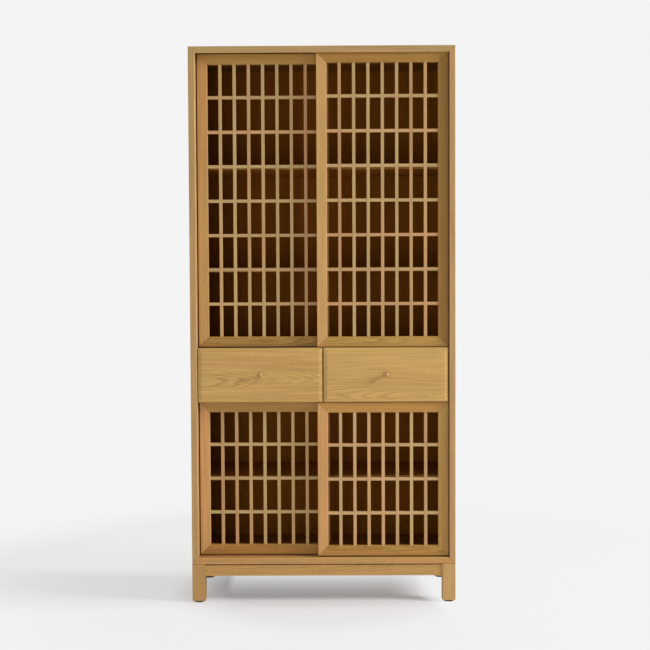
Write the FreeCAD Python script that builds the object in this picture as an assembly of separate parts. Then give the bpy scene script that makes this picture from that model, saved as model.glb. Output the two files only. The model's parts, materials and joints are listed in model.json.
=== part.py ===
import FreeCAD
import Part
import os

# A tall kitchen cabinet in oak: two pairs of sliding lattice doors with two drawers between them,
# on a low open base. Millimetres. The front faces -Y and Z is up. The origin is on the floor,
# under the middle of the whole cabinet, knobs included.

# Case
case_width = 1016.0
case_depth = 430.0
panel_thickness = 25.0
case_ease = 1.5
deck_thickness = 22.0
deck_housing = 6.0
divider_thickness = 22.0
drawer_bay_height = 160.5
back_thickness = 8.0
back_lap = 10.0

# Doors and the tracks they run in
door_thickness = 24.0
door_recess = 12.0
door_spacing = 6.0
door_overlap = 47.0
left_door_gap = 3.5
door_stop_gap = 0.5
door_bottom_gap = 4.5
door_top_gap = 4.0
frame_width = 39.75
frame_ease = 1.2
tongue_thickness = 10.0
tongue_side_gap = 0.5
top_tongue_entry = 7.0
top_groove_depth = 10.0
bottom_groove_depth = 3.0
lintel_recess_depth = 7.0
lintel_recess_gap = 1.0

# Lattice
column_count = 8
upper_row_count = 8
lower_row_count = 4
cell_height = 120.0
bar_width = 12.0
bar_depth = 14.0
bar_setback = 2.5
bar_stub = 6.0

# Drawers
drawer_front_thickness = 12.0
drawer_side_gap = 3.0
drawer_middle_gap = 4.0
drawer_front_rise = 3.0
drawer_front_drop = 2.0
bevel_width = 14.0
bevel_depth = 4.0
box_gap = 1.5
box_top_gap = 15.5
box_rear_gap = 32.0
box_wall = 12.0
box_housing = 6.0
tray_thickness = 6.0
tray_lift = 8.0

# Knobs
knob_reach = 22.0
knob_radius = 11.0
knob_rim_reach = 14.0
knob_neck_radius = 5.5
knob_neck_reach = 6.0
knob_base_radius = 7.5
knob_bore_depth = 12.0
knob_screw_radius = 2.0
knob_screw_entry = 10.0
knob_screw_head_radius = 4.0
knob_screw_head_thickness = 2.5

# Shelves
shelf_thickness = 18.0
shelf_front_gap = 8.0
shelf_back_gap = 1.0
shelf_side_gap = 1.0
upper_shelf_drop = 2.75
lower_shelf_drop = 6.75
high_shelf_bar = 4
low_shelf_bar = 1
lower_shelf_bar = 1
pin_radius = 3.5
pin_reach = 10.0
pin_entry = 10.0
pin_inset = 45.0

# Base
base_height = 148.5
leg_side = 50.0
leg_ease = 2.0
glide_radius = 20.0
glide_thickness = 7.0
apron_height = 45.0
apron_thickness = 20.0
apron_setback = 4.0
tenon_thickness = 8.0
tenon_length = 24.0
tenon_shoulder = 8.0
block_reach = 60.0
block_height = 25.0
base_screw_offset = 10.0
base_screw_radius = 2.5
base_screw_bite = 18.0
base_screw_head_radius = 4.5
base_screw_head_thickness = 3.0

# Fit of pins and screws in their holes, and how far a cut runs past a face
hole_gap = 0.1
overrun = 1.0

# Share of a quarter round's radius that its curve handles take
round_share = 0.5523

# Largest distance at which a corner still counts as lying on a line
match_distance = 0.01


def door_height(row_count):
    return frame_width * 2 + row_count * cell_height + (row_count - 1) * bar_width


# Start of each bar across an opening, one bar fewer than there are cells
def bar_starts(opening_start, cell_size, cell_count):
    pitch = cell_size + bar_width
    return [opening_start + cell_size + index * pitch for index in range(cell_count - 1)]


# Widths
outer_half = case_width / 2
inner_half = outer_half - panel_thickness
door_width = (inner_half * 2 - left_door_gap - door_stop_gap + door_overlap) / 2
cell_width = (door_width - frame_width * 2 - (column_count - 1) * bar_width) / column_count
left_door_x = left_door_gap - inner_half
right_door_x = inner_half - door_stop_gap - door_width

# Depths
front = (knob_reach - case_depth) / 2
back = front + case_depth
back_inside = back - back_thickness
deck_front = front + drawer_front_thickness
front_door_y = front + door_recess
rear_door_y = front_door_y + door_thickness + door_spacing
shelf_front = rear_door_y + door_thickness + shelf_front_gap

# Heights
case_bottom = base_height
case_floor = case_bottom + panel_thickness
lower_door_z = case_floor + door_bottom_gap
lower_deck_bottom = lower_door_z + door_height(lower_row_count) + door_top_gap
lower_deck_top = lower_deck_bottom + deck_thickness
upper_deck_bottom = lower_deck_top + drawer_bay_height
upper_deck_top = upper_deck_bottom + deck_thickness
upper_door_z = upper_deck_top + door_bottom_gap
lintel_z = upper_door_z + door_height(upper_row_count) + door_top_gap
ceiling = lintel_z - lintel_recess_depth
case_top = ceiling + panel_thickness
back_joint = (upper_deck_bottom + upper_deck_top) / 2

# Each shelf lies behind a cross bar of the doors, counted from the lowest bar, and a little below it
upper_bars = bar_starts(upper_door_z + frame_width, cell_height, upper_row_count)
lower_bars = bar_starts(lower_door_z + frame_width, cell_height, lower_row_count)
shelf_bottoms = [
    upper_bars[high_shelf_bar] - upper_shelf_drop,
    upper_bars[low_shelf_bar] - upper_shelf_drop,
    lower_bars[lower_shelf_bar] - lower_shelf_drop,
]


def block(x_span, y_span, z_span):
    low = FreeCAD.Vector(min(x_span), min(y_span), min(z_span))
    high = FreeCAD.Vector(max(x_span), max(y_span), max(z_span))
    size = high - low
    return Part.makeBox(size.x, size.y, size.z, low)


# A board whose outline is drawn from the front, in X and Z
def board(outline, y_span):
    corners = [FreeCAD.Vector(x, y_span[0], z) for x, z in outline]
    face = Part.Face(Part.makePolygon(corners + corners[:1]))
    return face.extrude(FreeCAD.Vector(0, y_span[1] - y_span[0], 0))


def rod(centre, direction, radius, length):
    return Part.makeCylinder(radius, length, FreeCAD.Vector(*centre), FreeCAD.Vector(*direction))


# The straight edges that run along one axis at the two places given on the other axes
def edges_at(shape, **places):
    found = []
    for edge in shape.Edges:
        points = [vertex.Point for vertex in edge.Vertexes]
        misses = [abs(getattr(point, axis) - place) for point in points for axis, place in places.items()]
        if len(points) == 2 and max(misses) < match_distance:
            found.append(edge)
    return found


def eased(shape, size, lines):
    edges = [edge for places in lines for edge in edges_at(shape, **places)]
    return shape.makeChamfer(size, edges)


def tongue_spans():
    spans = []
    for door_y in (front_door_y, rear_door_y):
        tongue_back = door_y + door_thickness
        spans.append((tongue_back - tongue_thickness, tongue_back))
    return spans


# One groove for each track, a little wider than the doors' tongues
def track_grooves(z_span):
    grooves = []
    for tongue_front, tongue_back in tongue_spans():
        y_span = (tongue_front - tongue_side_gap, tongue_back + tongue_side_gap)
        grooves.append(block((-inner_half, inner_half), y_span, z_span))
    return grooves


# The step round the back of the case that takes the back panels
def back_space(z_span):
    half = inner_half + back_lap
    return block((-half, half), (back_inside, back), z_span)


def whole_back():
    return back_space((case_floor - back_lap, ceiling + back_lap))


def deck_board(z_span):
    half = inner_half + deck_housing
    return block((-half, half), (deck_front, back_inside), z_span)


def pin_places():
    places = []
    for shelf_bottom in shelf_bottoms:
        for y in (shelf_front + pin_inset, back_inside - pin_inset):
            for side in (-1, 1):
                places.append((side, y, shelf_bottom - pin_radius))
    return places


def pin_rod(place, radius, reach):
    side, y, z = place
    start = (side * (inner_half + pin_entry), y, z)
    return rod(start, (-side, 0, 0), radius, pin_entry + reach)


def case_side(side):
    outer = side * outer_half
    inner = side * inner_half
    outline = [(outer, case_bottom), (outer, case_top), (inner, ceiling), (inner, case_floor)]
    shape = board(outline, (front, back))
    lines = [{"x": outer, "y": front}, {"x": inner, "y": front}, {"x": outer, "y": back}]
    shape = eased(shape, case_ease, lines)
    shape = shape.cut(whole_back())
    shape = shape.cut(deck_board((lower_deck_bottom, lower_deck_top)))
    shape = shape.cut(deck_board((upper_deck_bottom, upper_deck_top)))
    holes = [pin_rod(place, pin_radius + hole_gap, overrun) for place in pin_places() if place[0] == side]
    return shape.cut(holes)


# The top and bottom panels differ only in which way their inner face looks
def case_end(outer_z, inner_z):
    outline = [(-outer_half, outer_z), (outer_half, outer_z), (inner_half, inner_z), (-inner_half, inner_z)]
    shape = board(outline, (front, back))
    lines = [{"z": outer_z, "y": front}, {"z": inner_z, "y": front}, {"z": outer_z, "y": back}]
    shape = eased(shape, case_ease, lines)
    return shape.cut(whole_back())


def top_panel():
    shape = case_end(case_top, ceiling)
    recess_span = (front_door_y - lintel_recess_gap, rear_door_y + door_thickness + lintel_recess_gap)
    recess = block((-inner_half, inner_half), recess_span, (ceiling - overrun, lintel_z))
    grooves = track_grooves((lintel_z - overrun, lintel_z + top_groove_depth))
    return shape.cut([recess] + grooves)


def bottom_panel():
    shape = case_end(case_bottom, case_floor)
    grooves = track_grooves((case_floor - bottom_groove_depth, case_floor + overrun))
    holes = [base_screw_hole(x_side, y_side) for x_side, y_side in corners()]
    return shape.cut(grooves + holes)


def upper_deck():
    shape = deck_board((upper_deck_bottom, upper_deck_top))
    return shape.cut(track_grooves((upper_deck_top - bottom_groove_depth, upper_deck_top + overrun)))


def lower_deck():
    shape = deck_board((lower_deck_bottom, lower_deck_top))
    return shape.cut(track_grooves((lower_deck_bottom - overrun, lower_deck_bottom + top_groove_depth)))


def drawer_divider():
    half = divider_thickness / 2
    return block((-half, half), (deck_front, back_inside), (lower_deck_top, upper_deck_bottom))


def shelf(shelf_bottom):
    half = inner_half - shelf_side_gap
    y_span = (shelf_front, back_inside - shelf_back_gap)
    shape = block((-half, half), y_span, (shelf_bottom, shelf_bottom + shelf_thickness))
    lines = [{"y": shelf_front, "z": shelf_bottom}, {"y": shelf_front, "z": shelf_bottom + shelf_thickness}]
    return eased(shape, case_ease, lines)


def shelf_pins():
    return Part.makeCompound([pin_rod(place, pin_radius, pin_reach) for place in pin_places()])


# A door's four frame pieces and its lattice, by name
def door(x, y, z, row_count):
    right = x + door_width
    top = z + door_height(row_count)
    inner_left = x + frame_width
    inner_right = right - frame_width
    inner_bottom = z + frame_width
    inner_top = top - frame_width
    y_span = (y, y + door_thickness)

    left_outline = [(x, z), (x, top), (inner_left, inner_top), (inner_left, inner_bottom)]
    right_outline = [(right, z), (right, top), (inner_right, inner_top), (inner_right, inner_bottom)]
    top_outline = [(x, top), (right, top), (inner_right, inner_top), (inner_left, inner_top)]
    bottom_outline = [(x, z), (right, z), (inner_right, inner_bottom), (inner_left, inner_bottom)]
    left_lines = [{"x": x, "y": y}, {"x": inner_left, "y": y}]
    right_lines = [{"x": right, "y": y}, {"x": inner_right, "y": y}]
    top_lines = [{"z": top, "y": y}, {"z": inner_top, "y": y}]
    bottom_lines = [{"z": z, "y": y}, {"z": inner_bottom, "y": y}]
    stile_left = eased(board(left_outline, y_span), frame_ease, left_lines)
    stile_right = eased(board(right_outline, y_span), frame_ease, right_lines)
    top_rail = eased(board(top_outline, y_span), frame_ease, top_lines)
    bottom_rail = eased(board(bottom_outline, y_span), frame_ease, bottom_lines)

    tongue_span = (y + door_thickness - tongue_thickness, y + door_thickness)
    top_tongue = block((x, right), tongue_span, (top, top + door_top_gap + top_tongue_entry))
    bottom_tongue = block((x, right), tongue_span, (z - door_bottom_gap - bottom_groove_depth, z))
    top_rail = top_rail.fuse(top_tongue).removeSplitter()
    bottom_rail = bottom_rail.fuse(bottom_tongue).removeSplitter()

    bar_front = y + bar_setback
    bar_back = bar_front + bar_depth
    bar_middle = (bar_front + bar_back) / 2
    columns = [(start, start + bar_width) for start in bar_starts(inner_left, cell_width, column_count)]
    rows = [(start, start + bar_width) for start in bar_starts(inner_bottom, cell_height, row_count)]
    long_z = (inner_bottom - bar_stub, inner_top + bar_stub)
    long_x = (inner_left - bar_stub, inner_right + bar_stub)
    uprights = [block(column, (bar_front, bar_back), long_z) for column in columns]
    crossbars = [block(long_x, (bar_front, bar_back), row) for row in rows]
    rear_halves = [block(column, (bar_middle, bar_back), row) for column in columns for row in rows]
    front_halves = [block(column, (bar_front, bar_middle), row) for column in columns for row in rows]
    halved = [bar.cut(rear_halves) for bar in uprights] + [bar.cut(front_halves) for bar in crossbars]
    return {
        "stile_left": stile_left.cut(crossbars),
        "stile_right": stile_right.cut(crossbars),
        "top_rail": top_rail.cut(uprights),
        "bottom_rail": bottom_rail.cut(uprights),
        "lattice": Part.makeCompound([solid for bar in halved for solid in bar.Solids]),
    }


# A drawer front with a bevelled border: a plate behind, and a raised field that slopes down to it
def bevelled_front(x_span, z_span):
    border_y = front + bevel_depth
    plate = block(x_span, (border_y, deck_front), z_span)
    loops = []
    for y, inset in ((border_y, 0), (front, bevel_width)):
        low_x = min(x_span) + inset
        high_x = max(x_span) - inset
        low_z = min(z_span) + inset
        high_z = max(z_span) - inset
        ring = [(low_x, low_z), (high_x, low_z), (high_x, high_z), (low_x, high_z), (low_x, low_z)]
        points = [FreeCAD.Vector(corner_x, y, corner_z) for corner_x, corner_z in ring]
        loops.append(Part.makePolygon(points))
    field = Part.makeLoft(loops, True, True)
    return plate.fuse(field).removeSplitter()


# A turned knob: a slim neck that swells to a rim and closes in a low dome
def knob(x, z):
    def point(radius, reach):
        return FreeCAD.Vector(x + radius, front - reach, z)

    def curve(*poles):
        line = Part.BezierCurve()
        line.setPoles(list(poles))
        return line.toShape()

    neck_handle = knob_neck_reach * round_share
    rim_handle = (knob_rim_reach - knob_neck_reach) * round_share
    dome_handle = (knob_reach - knob_rim_reach) * round_share
    seat = Part.makeLine(point(0, 0), point(knob_base_radius, 0))
    flare = curve(
        point(knob_base_radius, 0),
        point(knob_neck_radius, neck_handle),
        point(knob_neck_radius, knob_neck_reach),
    )
    swell = curve(
        point(knob_neck_radius, knob_neck_reach),
        point(knob_neck_radius, knob_neck_reach + rim_handle),
        point(knob_radius, knob_rim_reach - rim_handle),
        point(knob_radius, knob_rim_reach),
    )
    dome = curve(
        point(knob_radius, knob_rim_reach),
        point(knob_radius, knob_rim_reach + dome_handle),
        point(knob_radius * round_share, knob_reach),
        point(0, knob_reach),
    )
    centre_line = Part.makeLine(point(0, knob_reach), point(0, 0))
    face = Part.Face(Part.Wire([seat, flare, swell, dome, centre_line]))
    shape = face.revolve(FreeCAD.Vector(x, 0, z), FreeCAD.Vector(0, 1, 0), 360)
    return shape.cut(rod((x, front, z), (0, -1, 0), knob_screw_radius + hole_gap, knob_bore_depth))


# The screw's head sits inside the box, and its shank passes through the box front and the drawer front
def knob_screw(x, z):
    seat = (x, deck_front + box_wall, z)
    shank_length = box_wall + drawer_front_thickness + knob_screw_entry
    shank = rod(seat, (0, -1, 0), knob_screw_radius, shank_length)
    head = rod(seat, (0, 1, 0), knob_screw_head_radius, knob_screw_head_thickness)
    return shank.fuse(head)


# The drawer on one side of the divider: side is -1 on the left and 1 on the right
def drawer(side):
    front_x = (side * drawer_middle_gap / 2, side * (inner_half - drawer_side_gap))
    front_z = (lower_deck_bottom - drawer_front_drop, upper_deck_top + drawer_front_rise)
    box_x = (side * (divider_thickness / 2 + box_gap), side * (inner_half - box_gap))
    left = min(box_x)
    right = max(box_x)
    rear = back_inside - box_rear_gap
    box_z = (lower_deck_top, upper_deck_bottom - box_top_gap)
    tray_bottom = lower_deck_top + tray_lift
    centre_x = sum(front_x) / 2
    centre_z = sum(front_z) / 2

    left_blank = block((left, left + box_wall), (deck_front, rear), box_z)
    right_blank = block((right - box_wall, right), (deck_front, rear), box_z)
    across_x = (left + box_wall - box_housing, right - box_wall + box_housing)
    front_blank = block(across_x, (deck_front, deck_front + box_wall), box_z)
    back_blank = block(across_x, (rear - box_wall * 2, rear - box_wall), (tray_bottom, box_z[1]))
    tray_y = (deck_front + box_wall - box_housing, rear - box_wall * 2 + box_housing)
    tray = block(across_x, tray_y, (tray_bottom, tray_bottom + tray_thickness))

    hole_start = (centre_x, deck_front + box_wall, centre_z)
    hole = rod(hole_start, (0, -1, 0), knob_screw_radius + hole_gap, box_wall + drawer_front_thickness)
    return {
        "front": bevelled_front(front_x, front_z).cut(hole),
        "box_front": front_blank.cut([tray, hole]),
        "box_side_left": left_blank.cut([front_blank, back_blank, tray]),
        "box_side_right": right_blank.cut([front_blank, back_blank, tray]),
        "box_back": back_blank.cut(tray),
        "box_bottom": tray,
        "knob": knob(centre_x, centre_z),
        "knob_screw": knob_screw(centre_x, centre_z),
    }


# The four corners of the base, as signs of X and Y
def corners():
    return [(x_side, y_side) for y_side in (-1, 1) for x_side in (-1, 1)]


def case_face_y(y_side):
    return front if y_side < 0 else back


# The leg's faces that look towards the middle of the cabinet
def leg_inner(x_side, y_side):
    return x_side * (outer_half - leg_side), case_face_y(y_side) - y_side * leg_side


def tenon_z():
    return (case_bottom - apron_height + tenon_shoulder, case_bottom - tenon_shoulder)


# Depth of an apron of the base, measured in from the face it stands behind
def apron_span(face, towards):
    outer = face - towards * apron_setback
    return (outer, outer - towards * apron_thickness)


def tenon_span(face, towards):
    outer = face - towards * (apron_setback + (apron_thickness - tenon_thickness) / 2)
    return (outer, outer - towards * tenon_thickness)


# The front and rear aprons run along X, with a tenon into the leg at each end
def long_apron(y_side):
    half = outer_half - leg_side
    face = case_face_y(y_side)
    rail = block((-half, half), apron_span(face, y_side), (case_bottom - apron_height, case_bottom))
    tenon_half = half + tenon_length
    tenons = block((-tenon_half, tenon_half), tenon_span(face, y_side), tenon_z())
    return rail.fuse(tenons).removeSplitter()


# The side aprons run along Y
def short_apron(x_side):
    face = x_side * outer_half
    rail_y = (front + leg_side, back - leg_side)
    rail = block(apron_span(face, x_side), rail_y, (case_bottom - apron_height, case_bottom))
    tenon_y = (rail_y[0] - tenon_length, rail_y[1] + tenon_length)
    tenons = block(tenon_span(face, x_side), tenon_y, tenon_z())
    return rail.fuse(tenons).removeSplitter()


def leg(x_side, y_side):
    outer_x = x_side * outer_half
    outer_y = case_face_y(y_side)
    inner_x, inner_y = leg_inner(x_side, y_side)
    shape = block((outer_x, inner_x), (outer_y, inner_y), (glide_thickness, case_bottom))
    lines = [
        {"x": outer_x, "y": outer_y},
        {"x": outer_x, "z": case_bottom},
        {"y": outer_y, "z": case_bottom},
    ]
    shape = eased(shape, leg_ease, lines)
    return shape.cut([long_apron(y_side), short_apron(x_side)])


def leg_glides():
    glides = []
    for x_side, y_side in corners():
        x = x_side * (outer_half - leg_side / 2)
        y = case_face_y(y_side) - y_side * leg_side / 2
        glides.append(rod((x, y, 0), (0, 0, 1), glide_radius, glide_thickness))
    return Part.makeCompound(glides)


def base_screw_place(x_side, y_side):
    inner_x, inner_y = leg_inner(x_side, y_side)
    return (inner_x - x_side * base_screw_offset, inner_y - y_side * base_screw_offset)


def base_screw_hole(x_side, y_side):
    x, y = base_screw_place(x_side, y_side)
    start = (x, y, case_bottom - block_height)
    return rod(start, (0, 0, 1), base_screw_radius + hole_gap, block_height + base_screw_bite + hole_gap)


# A block fits round the inner corner of each leg, against both aprons and under the case
def corner_block(x_side, y_side):
    leg_x, leg_y = leg_inner(x_side, y_side)
    apron_x = apron_span(x_side * outer_half, x_side)[1]
    apron_y = apron_span(case_face_y(y_side), y_side)[1]
    outline = [
        (leg_x, apron_y),
        (leg_x - x_side * block_reach, apron_y),
        (apron_x, leg_y - y_side * block_reach),
        (apron_x, leg_y),
        (leg_x, leg_y),
    ]
    bottom = case_bottom - block_height
    points = [FreeCAD.Vector(x, y, bottom) for x, y in outline]
    face = Part.Face(Part.makePolygon(points + points[:1]))
    return face.extrude(FreeCAD.Vector(0, 0, block_height)).cut(base_screw_hole(x_side, y_side))


def base_screw(x_side, y_side):
    x, y = base_screw_place(x_side, y_side)
    bottom = case_bottom - block_height
    shank = rod((x, y, bottom), (0, 0, 1), base_screw_radius, block_height + base_screw_bite)
    head = rod((x, y, bottom), (0, 0, -1), base_screw_head_radius, base_screw_head_thickness)
    return shank.fuse(head)


parts = {
    "case_side_left": case_side(-1),
    "case_side_right": case_side(1),
    "top_panel": top_panel(),
    "bottom_panel": bottom_panel(),
    "upper_deck": upper_deck(),
    "lower_deck": lower_deck(),
    "drawer_divider": drawer_divider(),
    "upper_back_panel": back_space((back_joint, ceiling + back_lap)),
    "lower_back_panel": back_space((case_floor - back_lap, back_joint)),
    "upper_shelf_high": shelf(shelf_bottoms[0]),
    "upper_shelf_low": shelf(shelf_bottoms[1]),
    "lower_shelf": shelf(shelf_bottoms[2]),
    "shelf_pins": shelf_pins(),
    "base_apron_front": long_apron(-1),
    "base_apron_rear": long_apron(1),
    "base_apron_left": short_apron(-1),
    "base_apron_right": short_apron(1),
    "leg_glides": leg_glides(),
    "base_corner_blocks": Part.makeCompound([corner_block(*corner) for corner in corners()]),
    "base_screws": Part.makeCompound([base_screw(*corner) for corner in corners()]),
}

leg_names = ["leg_front_left", "leg_front_right", "leg_rear_left", "leg_rear_right"]
for name, corner in zip(leg_names, corners()):
    parts[name] = leg(*corner)

doors = {
    "upper_left_door": door(left_door_x, rear_door_y, upper_door_z, upper_row_count),
    "upper_right_door": door(right_door_x, front_door_y, upper_door_z, upper_row_count),
    "lower_left_door": door(left_door_x, rear_door_y, lower_door_z, lower_row_count),
    "lower_right_door": door(right_door_x, front_door_y, lower_door_z, lower_row_count),
}
drawers = {"left_drawer": drawer(-1), "right_drawer": drawer(1)}
for unit, pieces in {**doors, **drawers}.items():
    for piece, shape in pieces.items():
        parts[unit + "_" + piece] = shape

os.makedirs("parts", exist_ok=True)
for name, shape in parts.items():
    shape.exportStep("parts/" + name + ".step")
    print(name, len(shape.Solids), round(shape.Volume))
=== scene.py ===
import json
import math
import random

import bpy
from mathutils import Matrix, Vector

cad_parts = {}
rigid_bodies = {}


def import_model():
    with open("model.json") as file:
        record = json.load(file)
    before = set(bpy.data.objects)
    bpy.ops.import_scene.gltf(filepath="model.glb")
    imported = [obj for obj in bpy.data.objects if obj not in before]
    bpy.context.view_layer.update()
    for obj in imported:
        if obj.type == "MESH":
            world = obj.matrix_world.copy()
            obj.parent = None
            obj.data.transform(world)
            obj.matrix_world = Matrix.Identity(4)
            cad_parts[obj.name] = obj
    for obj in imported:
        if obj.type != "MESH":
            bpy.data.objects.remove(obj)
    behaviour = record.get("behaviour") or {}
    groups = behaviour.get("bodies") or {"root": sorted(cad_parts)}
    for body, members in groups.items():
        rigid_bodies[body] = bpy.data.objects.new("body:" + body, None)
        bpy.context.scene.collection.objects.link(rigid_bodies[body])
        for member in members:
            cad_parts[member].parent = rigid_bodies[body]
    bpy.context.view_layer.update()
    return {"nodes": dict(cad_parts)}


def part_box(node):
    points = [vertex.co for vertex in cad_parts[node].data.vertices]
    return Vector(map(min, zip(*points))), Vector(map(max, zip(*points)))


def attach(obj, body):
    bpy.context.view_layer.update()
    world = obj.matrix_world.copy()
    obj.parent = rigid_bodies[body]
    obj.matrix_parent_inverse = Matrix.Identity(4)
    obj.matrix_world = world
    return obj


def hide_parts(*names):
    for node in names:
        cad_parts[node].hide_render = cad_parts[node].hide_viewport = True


bpy.ops.object.select_all(action="SELECT")
bpy.ops.object.delete()
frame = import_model()


# Case sides, top and bottom: four 25 mm boards, each glued up from three oak planks and mitred
# to the next at the corners. Sanded smooth, arrises eased with a block plane, then oiled satin.
class Amount:
    """A number or colour that varies over a surface. Sums on it add Math nodes to its finish."""

    def __init__(self, finish, socket):
        self.finish = finish
        self.socket = socket

    def __getitem__(self, output):
        return Amount(self.finish, self.socket.node.outputs[output])

    def __add__(self, other):
        return self.finish.maths("ADD", self, other)

    def __sub__(self, other):
        return self.finish.maths("SUBTRACT", self, other)

    def __rsub__(self, other):
        return self.finish.maths("SUBTRACT", other, self)

    def __mul__(self, other):
        return self.finish.maths("MULTIPLY", self, other)

    def __truediv__(self, other):
        return self.finish.maths("DIVIDE", self, other)

    __radd__ = __add__
    __rmul__ = __mul__


class Finish:
    """The nodes of one material, or of the studio's surroundings."""

    def __init__(self, owner):
        owner.use_nodes = True
        self.owner = owner
        self.tree = owner.node_tree
        self.tree.nodes.clear()

    def node(self, kind, settings, sockets, output=0):
        made = self.tree.nodes.new("ShaderNode" + kind)
        for name, value in settings.items():
            setattr(made, name, value)
        for name, value in sockets.items():
            if isinstance(value, Amount):
                self.tree.links.new(value.socket, made.inputs[name])
            else:
                made.inputs[name].default_value = value
        return Amount(self, made.outputs[output]) if made.outputs else None

    def maths(self, operation, *terms):
        return self.node("Math", {"operation": operation}, dict(enumerate(terms)))

    def rise(self, amount, start, end):
        """0 up to start and 1 past end, with a smooth rise between them."""
        settings = {"interpolation_type": "SMOOTHSTEP"}
        return self.node("MapRange", settings, {0: amount, 1: start, 2: end})

    def noise(self, place, stretch, detail=2.0, roughness=0.5):
        scaled = self.node("VectorMath", {"operation": "MULTIPLY"}, {0: place, 1: stretch})
        sizes = {"Vector": scaled, "Scale": 1.0, "Detail": detail, "Roughness": roughness}
        return self.node("TexNoise", {}, sizes)

    def tint(self, share, first, second, manner="MIX"):
        settings = {"data_type": "RGBA", "blend_type": manner}
        return self.node("Mix", settings, {0: share, 6: first, 7: second}, output=2)

    def place(self, middle):
        position = self.node("TexCoord", {}, {})["Object"]
        moved = self.node("Mapping", {}, {"Vector": position, "Location": -Vector(middle)})
        return self.node("SeparateXYZ", {}, {0: moved})

    def within(self, low, high, fade):
        """1 inside a box and 0 outside it, changing over a short distance at its faces."""
        half = (Vector(high) - Vector(low)) / 2
        spot = self.place((Vector(low) + Vector(high)) / 2)
        room = [size - self.maths("ABSOLUTE", spot[axis]) for axis, size in zip("XYZ", half)]
        nearest = self.maths("MINIMUM", self.maths("MINIMUM", room[0], room[1]), room[2])
        return self.rise(nearest, -fade, fade)

    def surface(self, colour, roughness, height, height_size, **fixed):
        bump = self.node("Bump", {}, {"Height": height, "Distance": height_size, "Strength": 1.0})
        sockets = {"Base Color": colour, "Roughness": roughness, "Normal": bump}
        for name, value in fixed.items():
            sockets[name.replace("_", " ")] = value
        shader = self.node("BsdfPrincipled", {}, sockets)
        self.node("OutputMaterial", {}, {"Surface": shader})
        return self.owner


def paint(red, green, blue):
    """A colour as it is read off a screen, 0 to 255, in the numbers that a shader takes."""
    levels = [value / 255 for value in (red, green, blue)]
    return [v / 12.92 if v <= 0.04045 else ((v + 0.055) / 1.055) ** 2.4 for v in levels] + [1.0]


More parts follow.
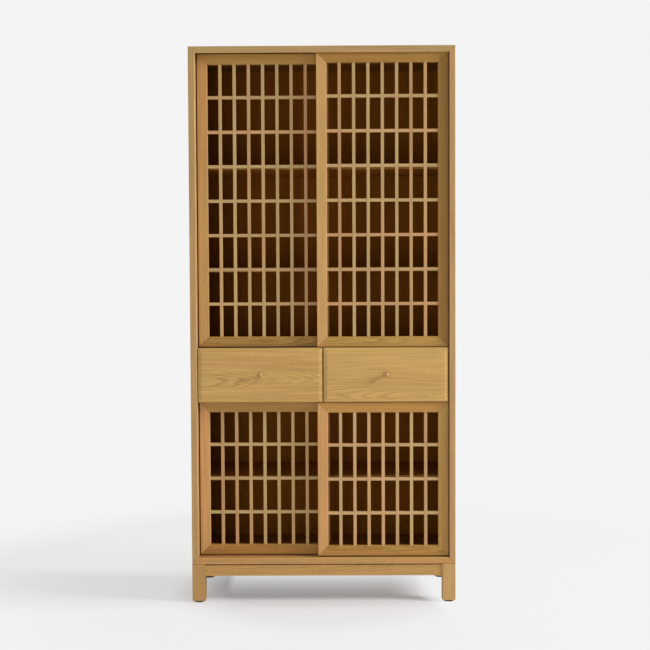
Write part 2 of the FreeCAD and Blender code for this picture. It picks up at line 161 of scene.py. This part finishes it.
def oak(
    name,
    corners,
    along,
    across,
    pale,
    brown,
    pith=(0.02, 0.09),
    slope=0.05,
    ring=0.0034,
    contrast=0.6,
    plank=0.0,
    outline=None,
    mitre=0.0,
    rim=0.0,
    shade=1.0,
    gloss=0.3,
    blush=1.0,
    arris_glow=0.12,
    polish=0.5,
    stains=(),
):
    """Oak sawn from a log: yearly rings round the pith, pores, rays and fibres, in one solid."""
    finish = Finish(bpy.data.materials.new(name))
    # The tone number sets the piece's brightness: partly the wood's own tone, partly painted light
    # for how light falls on that piece
    pale = [value * shade**power for value, power in zip(pale, (1.0, 1.2, 1.8))] + [1.0]
    brown = [value * shade**power for value, power in zip(brown, (1.0, 1.2, 1.8))] + [1.0]
    chance = random.Random(name)
    low, high = corners
    middle = (Vector(low) + Vector(high)) / 2
    spot = finish.place(middle)
    run, width, depth = (spot["XYZ"[axis]] for axis in (along, across, 3 - along - across))

    # Where the piece is glued up, each plank comes from its own part of the log
    seam = 0.0
    seam_width = 0.0005
    tone, lean = chance.uniform(0.2, 0.8), chance.uniform(0.2, 0.8)
    shift = chance.uniform(1.0, 9.0)
    if plank:
        counted = width / plank + 0.5
        number = finish.maths("FLOOR", counted)
        picks = finish.node("TexWhiteNoise", {"noise_dimensions": "1D"}, {"W": number + shift})
        tone = picks["Value"]
        lean = finish.node("SeparateColor", {}, {0: picks["Color"]})["Green"]
        off_middle = counted - number - 0.5
        width = off_middle * plank + (picks["Value"] - 0.5) * plank
        run = run + tone * 5.0
        seam = finish.rise(finish.maths("ABSOLUTE", off_middle), 0.5 - seam_width / plank, 0.5)
    wood = finish.node("CombineXYZ", {}, {0: run + shift, 1: width, 2: depth})

    # Yearly rings: r is the distance from the pith, which wanders and comes nearer along the board
    sway = finish.noise(wood, (1.1, 5.0, 5.0), detail=1.0)
    sway_parts = finish.node("SeparateColor", {}, {0: sway["Color"]})
    aside = width - pith[0] + (sway_parts["Red"] - 0.5) * 0.05
    below = depth + pith[1] + run * slope + (sway_parts["Green"] - 0.5) * 0.05
    distance = finish.maths("SQRT", aside * aside + below * below)
    ripple = finish.noise(wood, (9.0, 70.0, 70.0), detail=2.0)
    count = distance / ring + (ripple - 0.5) * 1.1
    year = finish.maths("FLOOR", count)
    phase = finish.maths("FRACT", count)
    vigour = finish.node("TexWhiteNoise", {"noise_dimensions": "1D"}, {"W": year + shift})
    early = finish.maths("MAXIMUM", finish.rise(phase, 0.62, 0.0), finish.rise(phase, 0.9, 1.0))
    early = early * (vigour["Value"] * 0.75 + 0.25)

    # Pores open mostly in the early wood. Rays show as short dashes on a flat-sawn face and as
    # pale flecks on a quarter-sawn one, and end grain takes the oil darker
    facing = finish.node("SeparateXYZ", {}, {0: finish.node("NewGeometry", {}, {})["Normal"]})
    turned = [finish.maths("ABSOLUTE", facing[axis]) for axis in "XYZ"]
    flat = turned[3 - along - across]
    end = finish.rise(turned[along], 0.75, 0.95)
    pores = finish.noise(wood, (130.0, 2300.0, 2300.0), detail=1.0)
    pores = finish.rise(pores, 0.58, 0.68) * (early * 0.8 + 0.2)
    rays = finish.noise(wood, (70.0, 1500.0, 40.0), detail=0.0)
    rays = finish.rise(rays, 0.68, 0.76) * (1.0 - end)
    fibres = finish.noise(wood, (7.0, 520.0, 520.0), detail=3.0, roughness=0.6)
    drift = finish.noise(wood, (0.8, 16.0, 16.0), detail=2.0)
    drift_parts = finish.node("SeparateColor", {}, {0: drift["Color"]})
    streak = finish.noise(wood, (5.0, 110.0, 110.0), detail=2.0)
    streak_parts = finish.node("SeparateColor", {}, {0: streak["Color"]})

    # Colours: pale late wood, browner early wood, and slow streaks that lean to pink or to straw
    warm, straw = (
        [value * (1.0 + share * blush) for value, share in zip(pale, shares)] + [1.0]
        for shares in ((0.04, -0.06, -0.12), (-0.03, 0.03, -0.07))
    )
    hue = drift_parts["Red"] * 0.5 + streak_parts["Green"] * 0.3 + lean * 0.2
    ground = finish.tint(finish.rise(hue, 0.38, 0.62), warm, straw)
    ground = finish.tint(early * contrast + fibres * 0.3 - 0.08, ground, brown)
    deep = [value * 0.42 for value in brown[:3]] + [1.0]
    ground = finish.tint(pores * 0.55 + rays * flat * 0.3, ground, deep)
    level = (tone - 0.5) * 0.14 + (drift_parts["Green"] - 0.5) * 0.3
    level = level + (streak_parts["Red"] - 0.5) * 0.45
    level = level + (fibres - 0.5) * 0.16 + rays * (1.0 - flat) * 0.07 - end * 0.2 + 1.0

    # Arrises are painted paler, partly as rubbed wear and partly as a painted highlight; joints
    # show as hairlines, and a rim beside a gap is darkened as painted shade
    sideways = finish.maths("MAXIMUM", turned[0], turned[2])
    arris = finish.rise(turned[1] * sideways, 0.3, 0.45)
    level = level + arris * arris_glow
    joint = seam
    if outline:
        gap_shade_width = 0.0015
        around = finish.place(outline[0])
        reach_x = outline[1][0] - finish.maths("ABSOLUTE", around["X"])
        reach_z = outline[1][1] - finish.maths("ABSOLUTE", around["Z"])
        off_mitre = finish.maths("ABSOLUTE", reach_x - reach_z)
        joint = finish.rise(off_mitre, 0.0011, 0.0003) * mitre + seam
        nearest = finish.maths("MINIMUM", reach_x, reach_z)
        # Painted shade: the face is darkened along its rim beside the gap
        level = level * (1.0 - finish.rise(nearest, gap_shade_width * 1.5, gap_shade_width * 0.5) * rim)
    level = level * (1.0 - joint * 0.45)
    colour = finish.node("VectorMath", {"operation": "SCALE"}, {0: ground, "Scale": level})
    # Painted light and shade, box by box: shade inside the case and along edges, and a highlight on
    # the drawer fronts' lower edge
    for low, high, fade, stain in stains:
        colour = finish.tint(finish.within(low, high, fade), colour, stain, "MULTIPLY")
    height = fibres * 0.25 - pores * 0.8 - early * 0.2 - joint * 1.0
    shine = polish + pores * 0.2 + fibres * 0.14 - arris * 0.06
    return finish.surface(colour, shine, height, 0.00012, Specular_IOR_Level=gloss)


def dress(name, *grain_and_colours, **cut):
    """Gives a piece of the frame an oak of its own."""
    wood = oak("oak_" + name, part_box(name), *grain_and_colours, **cut)
    frame["nodes"][name].material_slots[0].material = wood


case_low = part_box("bottom_panel")[0]
case_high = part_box("top_panel")[1]
case_middle = (case_low + case_high) / 2
case_half = ((case_high.x - case_low.x) / 2, (case_high.z - case_low.z) / 2)
inner_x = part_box("case_side_right")[0].x
inner_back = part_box("upper_back_panel")[0].y

# The inside is painted darker brown as painted shade, from an unshaded strip along the front edges
# to the back, which runs further in on the left side where light falls. Painted shade also darkens
# the inner arris of the right side and the front edge under the bottom
inside_shade = [0.5, 0.33, 0.1, 1.0]
shade_box_reach = 0.0005
shade_fade = 0.0004
unshaded_strip = 0.008
unshaded_strip_left = 0.039
inside_low = Vector((-inner_x, case_low.y + unshaded_strip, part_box("bottom_panel")[1].z))
inside_high = Vector((inner_x, inner_back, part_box("top_panel")[0].z))
inside_low -= Vector((shade_box_reach, 0.0, shade_box_reach))
inside_high += Vector((shade_box_reach, shade_box_reach, shade_box_reach))
left_low = Vector((inside_low.x, case_low.y + unshaded_strip_left, inside_low.z))
behind_doors = Vector((inside_low.x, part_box("upper_left_door_top_rail")[1].y, inside_low.z))
inside = (inside_low, inside_high, shade_fade, inside_shade)
inside_left = (left_low, inside_high, shade_fade, inside_shade)
inside_rear = (behind_doors, inside_high, shade_fade, inside_shade)
edge_shade = [0.36, 0.3, 0.24, 1.0]
edge_shade_fade = 0.0006
beyond = 1.0
# Painted shade along the right side's inner arris and along the lowest edge of the bottom board
right_arris = (
    Vector((inner_x - 0.001, case_low.y - beyond, 0.0)),
    Vector((inner_x + 0.0026, case_high.y, case_high.z + beyond)),
    edge_shade_fade,
    edge_shade,
)
under_arris = (
    case_low - Vector((beyond, beyond, beyond)),
    Vector((case_high.x + beyond, case_high.y, case_low.z + 0.0012)),
    edge_shade_fade,
    edge_shade,
)
for name, along, across, log, shade, warmth, stains in (
    ("case_side_left", 2, 1, (0.03, 0.11), 1.0, 1.0, [inside_left]),
    ("case_side_right", 2, 1, (-0.02, 0.08), 1.05, 1.0, [inside, right_arris]),
    ("top_panel", 0, 1, (0.02, 0.12), 1.03, 1.0, [inside]),
    ("bottom_panel", 0, 1, (-0.03, 0.1), 1.02, 1.05, [inside_rear, under_arris]),
):
    # The arrises carry a strong painted highlight, and each board's tone number is partly painted
    # light, lighter on the right side
    dress(
        name,
        along,
        across,
        paint(188 * warmth, 154, 104 / warmth**2),
        paint(162 * warmth, 121, 70 / warmth**2),
        pith=log,
        slope=0.03,
        plank=0.1465,
        outline=(case_middle, case_half),
        mitre=1.0,
        shade=shade,
        arris_glow=0.35,
        stains=stains,
    )


# Decks and divider: two 22 mm boards housed in the case sides carry the drawers, and an upright
# board stands between the drawers. The same oak, with the planks' joints running across the front.
# Behind the doors the decks and divider take the painted shade of the inside
for name, along, across in (("upper_deck", 0, 1), ("lower_deck", 0, 1), ("drawer_divider", 1, 2)):
    dress(
        name,
        along,
        across,
        paint(176, 136, 80),
        paint(142, 100, 52),
        plank=0.141,
        gloss=0.12,
        stains=[inside_rear],
    )


# Back: two oak-veneered panels 8 mm thick, let into a step round the back of the case. The veneer
# is laid in upright leaves, each a slice of the same log, so its arches repeat side by side.
# The back's inner face is painted dark as shade inside the case
back_shade = [0.53, 0.3, 0.05, 1.0]
for name in ("upper_back_panel", "lower_back_panel"):
    dress(
        name,
        2,
        0,
        paint(188, 150, 98),
        paint(152, 112, 64),
        pith=(0.16, 0.05),
        slope=0.02,
        contrast=0.4,
        gloss=0.04,
        plank=0.2,
        stains=[(inside_low, inside_high, shade_fade, back_shade)],
    )


# Shelves: three 18 mm boards with eased front edges, each lying loose on four pins. Planks of even
# width are glued edge to edge, with the grain running from side to side.
# Behind the doors the shelves are painted darker and redder, as shade inside the case
shelf_shade = [1.15, 0.85, 0.45, 1.0]
shelf_unshaded_strip = Vector((0.0, 0.01, 0.0))
shelves = ("upper_shelf_high", "upper_shelf_low", "lower_shelf")
for name in shelves:
    dress(
        name,
        0,
        1,
        paint(164, 118, 60),
        paint(130, 88, 40),
        plank=0.119,
        gloss=0.08,
        stains=[(behind_doors + shelf_unshaded_strip, inside_high, shade_fade, shelf_shade)],
    )


# Shelf pins: twelve short steel pegs pushed into bored holes in the case sides. Each is turned
# from bar and rounded at the end that shows.
pin_radius = 0.0035
pin_length = 0.02
pin_rim = 0.0009
pin_inset = 0.045
shelf_back_gap = 0.001


def round_over(piece, chosen, size, segments):
    """Rounds the edges of a piece whose two end points are the chosen ones."""
    bpy.ops.object.mode_set(mode="EDIT")
    bpy.ops.mesh.select_mode(type="EDGE")
    bpy.ops.mesh.select_all(action="DESELECT")
    bpy.ops.object.mode_set(mode="OBJECT")
    for edge in piece.data.edges:
        edge.select = chosen(*(piece.data.vertices[number].co for number in edge.vertices))
    bpy.ops.object.mode_set(mode="EDIT")
    bpy.ops.mesh.bevel(offset=size, segments=segments, affect="EDGES")
    bpy.ops.object.mode_set(mode="OBJECT")


def peg(name, radius, length, rim, sides=32):
    """A turned rod that stands on the origin, with its top edge rounded over."""
    bpy.ops.object.select_all(action="DESELECT")
    bpy.ops.mesh.primitive_cylinder_add(
        vertices=sides, radius=radius, depth=length, location=(0.0, 0.0, length / 2)
    )
    made = bpy.context.object
    made.name = name
    bpy.ops.object.transform_apply(location=True, rotation=False, scale=False)
    round_over(made, lambda start, end: min(start.z, end.z) > length * 0.999, rim, 4)
    bpy.ops.object.shade_smooth_by_angle(angle=math.radians(40))
    return made


def join(pieces):
    """Makes the pieces one, under the name of the first."""
    bpy.ops.object.select_all(action="DESELECT")
    for piece in pieces:
        piece.select_set(True)
    bpy.context.view_layer.objects.active = pieces[0]
    bpy.ops.object.join()
    return pieces[0]


def set_out(piece, places):
    """One copy of a piece at each place, its top turned along the direction given with it."""
    copies = []
    for place, direction in places:
        made = piece.copy()
        made.data = piece.data.copy()
        made.location = place
        made.rotation_euler = Vector(direction).to_track_quat("Z", "X").to_euler()
        bpy.context.scene.collection.objects.link(made)
        copies.append(made)
    name = piece.name
    bpy.data.objects.remove(piece)
    bpy.ops.object.select_all(action="DESELECT")
    for made in copies:
        made.select_set(True)
    bpy.ops.object.transform_apply(location=True, rotation=True, scale=False)
    if len(copies) > 1:
        join(copies)
    copies[0].name = name
    return copies[0]


def bright_steel(name, axis):
    """Plain steel, with fine rings left by turning and a little haze from handling."""
    finish = Finish(bpy.data.materials.new(name))
    spot = finish.place((0.0, 0.0, 0.0))
    where = finish.node("CombineXYZ", {}, {0: spot["X"], 1: spot["Y"], 2: spot["Z"]})
    haze = finish.noise(where, (240.0, 240.0, 240.0), detail=3.0)
    grain = [300.0, 300.0, 300.0]
    grain[axis] = 6000.0
    marks = finish.noise(where, grain, detail=1.0)
    colour = finish.tint(haze, [0.46, 0.455, 0.44, 1.0], [0.62, 0.615, 0.6, 1.0])
    rough = haze * 0.2 + marks * 0.1 + 0.2
    return finish.surface(colour, rough, marks, 0.00002, Metallic=1.0)


pin_places = []
for name in shelves:
    shelf_low, shelf_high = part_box(name)
    for side in (-1, 1):
        outer_x = side * (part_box("case_side_right")[0].x + pin_length / 2)
        for y in (shelf_low.y + pin_inset, shelf_high.y + shelf_back_gap - pin_inset):
            pin_places.append(((outer_x, y, shelf_low.z - pin_radius), (-side, 0.0, 0.0)))
pins = set_out(peg("shelf_pin_set", pin_radius, pin_length, pin_rim), pin_places)
pins.data.materials.append(bright_steel("steel_shelf_pins", 0))
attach(pins, "cabinet")
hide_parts("shelf_pins")


# Door frames: four pieces of 24 mm oak to each door, just under 40 mm wide on the face and mitred
# at the corners. Straight grain runs the length of each piece. Tongues run in grooves in the case.
# Each piece's tone number is partly its own tone and partly painted light; the upper right door's
# right stile is darker as painted shadow cast by the case side, and a rim beside each gap is
# darkened as painted shade
for door, shades in (
    ("upper_left_door", (1.11, 1.04, 1.05, 0.92)),
    ("upper_right_door", (1.27, 0.78, 0.83, 1.0)),
    ("lower_left_door", (1.35, 1.1, 1.0, 0.81)),
    ("lower_right_door", (1.31, 1.08, 1.06, 0.91)),
):
    left_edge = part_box(door + "_stile_left")
    right_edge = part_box(door + "_stile_right")
    door_middle = (left_edge[0] + right_edge[1]) / 2
    door_half = ((right_edge[1].x - left_edge[0].x) / 2, (right_edge[1].z - left_edge[0].z) / 2)
    for (part, along, across, log, blue), shade in zip(
        (
            ("_stile_left", 2, 0, (-0.16, 0.07), 1.0),
            ("_stile_right", 2, 0, (0.16, 0.07), 0.93),
            ("_top_rail", 0, 2, (0.16, 0.07), 0.88),
            ("_bottom_rail", 0, 2, (0.01, 0.055), 0.88),
        ),
        shades,
    ):
        dress(
            door + part,
            along,
            across,
            paint(190, 141 + 3 * blue, 86 * blue),
            paint(158, 107 + 3 * blue, 58 * blue),
            pith=log,
            slope=0.02,
            ring=0.0027,
            contrast=0.75,
            blush=1.3,
            outline=(door_middle, door_half),
            mitre=0.8,
            rim=0.5,
            shade=shade,
        )


# Lattices: slim 12 mm oak bars, halved over each other at every crossing and stubbed into the door
# frame. Their long arrises are lightly rounded, so each crossing shows a fine shadow line.
bar_width = 0.012
bar_stub = 0.006
bar_arris = 0.0007
saw_overrun = 0.001


def block(low, high):
    """A square-edged block between two corners."""
    low, high = Vector(low), Vector(high)
    bpy.ops.object.select_all(action="DESELECT")
    bpy.ops.mesh.primitive_cube_add(size=1.0, location=(low + high) / 2, scale=high - low)
    bpy.ops.object.transform_apply(location=True, rotation=False, scale=True)
    return bpy.context.object


def stick(name, low, high, axis):
    """One bar between two corners, its edges along the axis rounded over."""
    made = block(low, high)
    made.name = name
    round_over(made, lambda start, end: abs(start[axis] - end[axis]) > 1e-5, bar_arris, 2)
    return made


def repeat(piece, count, step):
    """Copies a piece in a row, a step apart."""
    row = piece.modifiers.new("row", "ARRAY")
    row.count = count
    row.use_relative_offset = False
    row.use_constant_offset = True
    row.constant_offset_displace = step
    bpy.context.view_layer.objects.active = piece
    bpy.ops.object.modifier_apply(modifier=row.name)


def cut_away(piece, tool):
    """Takes the tool's shape out of a piece."""
    cut = piece.modifiers.new("cut", "BOOLEAN")
    cut.operation = "DIFFERENCE"
    cut.solver = "EXACT"
    cut.object = tool
    bpy.context.view_layer.objects.active = piece
    bpy.ops.object.modifier_apply(modifier=cut.name)
    bpy.data.objects.remove(tool)


# Each door's bars take a tone number that is partly their own tone and partly painted light
for door, columns, rows, shade in (
    ("upper_left_door", 8, 8, 0.97),
    ("upper_right_door", 8, 8, 0.99),
    ("lower_left_door", 8, 4, 0.96),
    ("lower_right_door", 8, 4, 1.08),
):
    low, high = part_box(door + "_lattice")
    across_step = (high.x - low.x - bar_stub * 2 + bar_width) / columns
    up_step = (high.z - low.z - bar_stub * 2 + bar_width) / rows
    first_x = low.x + bar_stub + across_step - bar_width
    first_z = low.z + bar_stub + up_step - bar_width
    next_x = first_x + bar_width
    next_z = first_z + bar_width
    middle_y = (low.y + high.y) / 2

    uprights = stick(door + "_bars", (first_x, low.y, low.z), (next_x, high.y, high.z), 2)
    repeat(uprights, columns - 1, (across_step, 0.0, 0.0))
    crossbars = stick(door + "_crossbars", (low.x, low.y, first_z), (high.x, high.y, next_z), 0)
    repeat(crossbars, rows - 1, (0.0, 0.0, up_step))

    # The uprights lose their rear half at each crossing, and the crossbars their front half
    rear_low = (first_x - saw_overrun, middle_y, first_z)
    rear_high = (next_x + saw_overrun, high.y + saw_overrun, next_z)
    front_low = (first_x, low.y - saw_overrun, first_z - saw_overrun)
    front_high = (next_x, middle_y, next_z + saw_overrun)
    for bars, cut_low, cut_high in (
        (uprights, rear_low, rear_high),
        (crossbars, front_low, front_high),
    ):
        halvings = block(cut_low, cut_high)
        repeat(halvings, columns - 1, (across_step, 0.0, 0.0))
        repeat(halvings, rows - 1, (0.0, 0.0, up_step))
        cut_away(bars, halvings)

    for bars, along, across, step in ((uprights, 2, 0, across_step), (crossbars, 0, 2, up_step)):
        bars.data.materials.append(
            oak(
                "oak_" + bars.name,
                ((low.x, low.y, low.z), (high.x, high.y, high.z)),
                along,
                across,
                paint(200, 164, 119),
                paint(170, 127, 83),
                pith=(0.2, 0.05),
                slope=0.01,
                ring=0.0021,
                contrast=0.45,
                plank=step,
                shade=shade,
                blush=1.7,
            )
        )
    join((uprights, crossbars))
    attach(uprights, door)
    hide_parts(door + "_lattice")


# Drawer fronts: one wide flat-sawn plank each, 12 mm thick, with a shallow bevel planed all round.
# The grain runs across and opens in long arches. The lower edge is painted paler as a painted
# highlight of light from below, the rim beside each gap is darkened as painted shade, and the
# right-hand front's tone is raised as painted light.
lower_edge_highlight = [1.12, 1.12, 1.12, 1.0]
highlight_height = 0.012
highlight_fade = 0.003
sideways_reach = Vector((0.01, 0.01, 0.0))
for name, log, lean, shade in (
    ("left_drawer_front", (-0.02, 0.075), 0.03, 1.0),
    ("right_drawer_front", (-0.075, 0.06), -0.025, 1.04),
):
    front_low, front_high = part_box(name)
    front_half = ((front_high.x - front_low.x) / 2, (front_high.z - front_low.z) / 2)
    edge_low = front_low - sideways_reach
    edge_high = Vector((front_high.x, front_high.y, front_low.z + highlight_height)) + sideways_reach
    dress(
        name,
        0,
        2,
        paint(210, 168, 99),
        paint(170, 125, 64),
        pith=log,
        slope=lean,
        ring=0.0036,
        contrast=0.6,
        blush=0.45,
        outline=((front_low + front_high) / 2, front_half),
        rim=0.45,
        shade=shade,
        stains=[(edge_low, edge_high, highlight_fade, lower_edge_highlight)],
    )


# Drawer boxes: 12 mm oak sides, front and back, housed into each other, and a thin bottom board in
# grooves. Plain straight boards, rubbed down but left paler than the fronts.
for drawer in ("left_drawer", "right_drawer"):
    for part, along, across in (
        ("_box_front", 0, 2),
        ("_box_back", 0, 2),
        ("_box_side_left", 1, 2),
        ("_box_side_right", 1, 2),
        ("_box_bottom", 0, 1),
    ):
        dress(
            drawer + part,
            along,
            across,
            paint(206, 172, 120),
            paint(172, 132, 82),
            pith=(0.05, 0.1),
            slope=0.03,
            contrast=0.5,
        )


# Knobs: turned from one piece of oak each, on a slim neck, with the grain along the axis. A steel
# screw with a domed cross-slotted head holds each one from inside the drawer box.
def cross_head_screw(name, radius, length, head_radius, head_height):
    """A screw that hangs from its head on the origin, with a cross cut into the head."""
    shank = peg(name + "_shank", radius, length, radius * 0.4)
    shank.location = (0.0, 0.0, -length)
    bpy.ops.object.transform_apply(location=True, rotation=False, scale=False)
    head = peg(name, head_radius, head_height, head_height * 0.6, sides=48)
    arm, slit = head_radius * 0.62, head_radius * 0.11
    for reach_x, reach_y in ((arm, slit), (slit, arm)):
        cut_low = (-reach_x, -reach_y, head_height * 0.35)
        cut_away(head, block(cut_low, (reach_x, reach_y, head_height * 2)))
    return join((head, shank))


knob_screw_radius = 0.002
knob_screw_head_radius = 0.004
knob_screw_head_height = 0.0025
for drawer in ("left_drawer", "right_drawer"):
    name = drawer + "_knob"
    dress(
        name,
        1,
        2,
        paint(192, 148, 88),
        paint(148, 102, 50),
        pith=(0.004, 0.02),
        slope=0.05,
        ring=0.0024,
        gloss=0.6,
        polish=0.3,
    )
    screw_low, screw_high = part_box(name + "_screw")
    screw_middle = (screw_low + screw_high) / 2
    seat = (screw_middle.x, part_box(drawer + "_box_front")[1].y, screw_middle.z)
    screw = cross_head_screw(
        drawer + "_cross_screw",
        knob_screw_radius,
        seat[1] - screw_low.y,
        knob_screw_head_radius,
        knob_screw_head_height,
    )
    screw = set_out(screw, [(seat, (0.0, 1.0, 0.0))])
    screw.data.materials.append(bright_steel("steel_" + name + "_screw", 1))
    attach(screw, drawer)
    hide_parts(name + "_screw")


# Legs: four square posts of solid oak, 50 mm on a side, with eased outer corners. Straight grain
# runs up each leg, and end grain shows underneath.
# Each leg's tone number is partly its own tone and partly painted light
for name, shade in (
    ("leg_front_left", 0.9),
    ("leg_front_right", 1.07),
    ("leg_rear_left", 0.98),
    ("leg_rear_right", 0.94),
):
    dress(
        name,
        2,
        0,
        paint(200, 158, 104),
        paint(166, 124, 76),
        pith=(0.06, 0.06),
        slope=0.02,
        ring=0.003,
        shade=shade,
    )


# Aprons and corner blocks: 20 mm rails tenoned between the legs just under the case, and a block
# glued in each corner and screwed up into the case with a steel screw. A painted shade line darkens
# the top edges, under the case.
shadow_line_height = 0.0036
shadow_line_fade = 0.001
shadow_line_shade = [0.16, 0.13, 0.1, 1.0]
for name, along, across in (
    ("base_apron_front", 0, 2),
    ("base_apron_rear", 0, 2),
    ("base_apron_left", 1, 2),
    ("base_apron_right", 1, 2),
    ("base_corner_blocks", 0, 1),
):
    rail_low, rail_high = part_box(name)
    under_case = Vector((rail_low.x, rail_low.y - beyond, rail_high.z - shadow_line_height))
    dress(
        name,
        along,
        across,
        paint(200, 153, 93),
        paint(166, 119, 65),
        pith=(0.03, 0.08),
        slope=0.03,
        stains=[(under_case, rail_high + Vector((beyond, beyond, beyond)), shadow_line_fade, shadow_line_shade)],
    )
base_screw_radius = 0.0025
base_screw_head_radius = 0.0045
base_screw_head_height = 0.003
block_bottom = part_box("base_corner_blocks")[0].z
screw_low, screw_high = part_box("base_screws")
screw_places = []
for y in (screw_low.y + base_screw_head_radius, screw_high.y - base_screw_head_radius):
    for x in (base_screw_head_radius - screw_high.x, screw_high.x - base_screw_head_radius):
        screw_places.append(((x, y, block_bottom), (0.0, 0.0, -1.0)))
base_screws = cross_head_screw(
    "base_screw_set",
    base_screw_radius,
    screw_high.z - block_bottom,
    base_screw_head_radius,
    base_screw_head_height,
)
base_screws = set_out(base_screws, screw_places)
base_screws.data.materials.append(bright_steel("steel_base_screws", 2))
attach(base_screws, "cabinet")
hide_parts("base_screws")


# Glides: a round foot of dark moulded plastic under each leg, matt and faintly pebbled, with the
# paler scuffs that a floor leaves on its rim.
glide_radius = 0.02
glide_rim = 0.0016
glide = Finish(bpy.data.materials.new("glide_plastic"))
spot = glide.place((0.0, 0.0, 0.0))
where = glide.node("CombineXYZ", {}, {0: spot["X"], 1: spot["Y"], 2: spot["Z"]})
pebble = glide.noise(where, (2600.0, 2600.0, 2600.0), detail=2.0)
scuff = glide.rise(glide.noise(where, (300.0, 300.0, 900.0), detail=3.0), 0.56, 0.7)
low_down = glide.rise(spot["Z"], 0.003, 0.0)
glide_colour = glide.tint(scuff * low_down * 0.6, [0.05, 0.042, 0.036, 1.0], [0.22, 0.2, 0.18, 1.0])
glide_low, glide_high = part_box("leg_glides")
glide_places = []
for y in (glide_low.y + glide_radius, glide_high.y - glide_radius):
    for x in (glide_low.x + glide_radius, glide_high.x - glide_radius):
        glide_places.append(((x, y, glide_high.z), (0.0, 0.0, -1.0)))
feet = peg("leg_glide_set", glide_radius, glide_high.z, glide_rim, sides=64)
feet = set_out(feet, glide_places)
feet.data.materials.append(glide.surface(glide_colour, pebble * 0.2 + 0.5, pebble, 0.00006))
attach(feet, "cabinet")
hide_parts("leg_glides")


# The studio: a wide pale floor that runs off into a white surround, a broad lamp high on the right,
# and soft white light from all round. The camera stands a little above the middle of the cabinet.
white = [0.905, 0.905, 0.905, 1.0]
bpy.ops.object.select_all(action="DESELECT")
bpy.ops.mesh.primitive_circle_add(vertices=128, radius=16.0, fill_type="NGON")
floor = bpy.context.object
floor.name = "studio_floor"

# To the camera the floor is part lit matt ground, which takes the shadow, and part plain white.
# There is more white further out, and in front of, behind and to the right of the cabinet; near
# the cabinet this white is painted light, which lightens the floor's shadow
floor_finish = Finish(bpy.data.materials.new("studio_floor"))
spot = floor_finish.place((0.0, 0.0, 0.0))
off_centre = floor_finish.maths("SQRT", spot["X"] * spot["X"] + spot["Y"] * spot["Y"])
near, far = floor_finish.rise(off_centre, 0.32, 0.66), floor_finish.rise(off_centre, 0.8, 2.2)
before = floor_finish.rise(spot["Y"], -0.12, -0.36)
behind = floor_finish.rise(spot["Y"], -0.2, 0.4)
behind = behind * floor_finish.rise(floor_finish.maths("ABSOLUTE", spot["X"] + 0.46), 0.04, 0.1)
right = floor_finish.rise(spot["X"] + spot["Y"] * 0.12, 0.3, 0.45)
# Painted light: the share of white that lightens the floor's shadow near the cabinet
painted_white_share = near * 0.43 + far * 0.35 + before * 0.2 + 0.22
painted_white_share = floor_finish.maths("MAXIMUM", painted_white_share, before * 0.6)
painted_white_share = floor_finish.maths("MAXIMUM", painted_white_share, behind * 0.6 + 0.22)
painted_white_share = floor_finish.maths("MAXIMUM", painted_white_share, right * 0.92)
seen = floor_finish.node("LightPath", {}, {})["Is Camera Ray"]
matt = floor_finish.node("BsdfDiffuse", {}, {"Color": [0.88, 0.88, 0.88, 1.0]})
plain = floor_finish.node("Emission", {}, {"Color": white, "Strength": 1.0})
run_off = floor_finish.node("MixShader", {}, {0: painted_white_share * seen, 1: matt, 2: plain})
floor_finish.node("OutputMaterial", {}, {"Surface": run_off})
floor.data.materials.append(floor_finish.owner)

world = bpy.data.worlds.new("studio_surround")
bpy.context.scene.world = world
around = Finish(world)
rays = around.node("LightPath", {}, {})
mirrored = around.maths("MAXIMUM", rays["Is Glossy Ray"], rays["Is Transmission Ray"])
looked_at = around.maths("MAXIMUM", rays["Is Camera Ray"], mirrored)
soft = around.node("Background", {}, {"Color": [1.0, 1.0, 1.0, 1.0], "Strength": 0.345})
backdrop = around.node("Background", {}, {"Color": white, "Strength": 1.0})
both = around.node("MixShader", {}, {0: looked_at, 1: soft, 2: backdrop})
around.node("OutputWorld", {}, {"Surface": both})

lamp_aim = Vector((0.0, -0.2, 1.0))
for name, direction, distance, size, power in (
    ("key_lamp", (2.2, -0.55, 0.85), 7.0, 2.0, 435.0),
    ("low_lamp", (-0.28, -1.0, -0.16), 4.0, 2.6, 46.0),
):
    towards = Vector(direction).normalized()
    lamp = bpy.data.lights.new(name, "AREA")
    lamp.shape = "DISK"
    lamp.size = size
    lamp.energy = power
    holder = bpy.data.objects.new(name, lamp)
    holder.location = lamp_aim + towards * distance
    holder.rotation_euler = towards.to_track_quat("Z", "Y").to_euler()
    bpy.context.scene.collection.objects.link(holder)

camera = bpy.data.objects.new("camera", bpy.data.cameras.new("camera"))
camera.data.lens = 66.66
camera.data.sensor_width = 36.0
stand = Matrix.Translation((0.03328, -4.80495, 1.25592))
swing = Matrix.Rotation(0.00538, 4, "Z")
tilt = Matrix.Rotation(1.530766, 4, "X")
roll = Matrix.Rotation(-0.0045, 4, "Z")
camera.matrix_world = stand @ swing @ tilt @ roll
bpy.context.scene.collection.objects.link(camera)
bpy.context.scene.camera = camera
bpy.context.scene.view_settings.view_transform = "Standard"
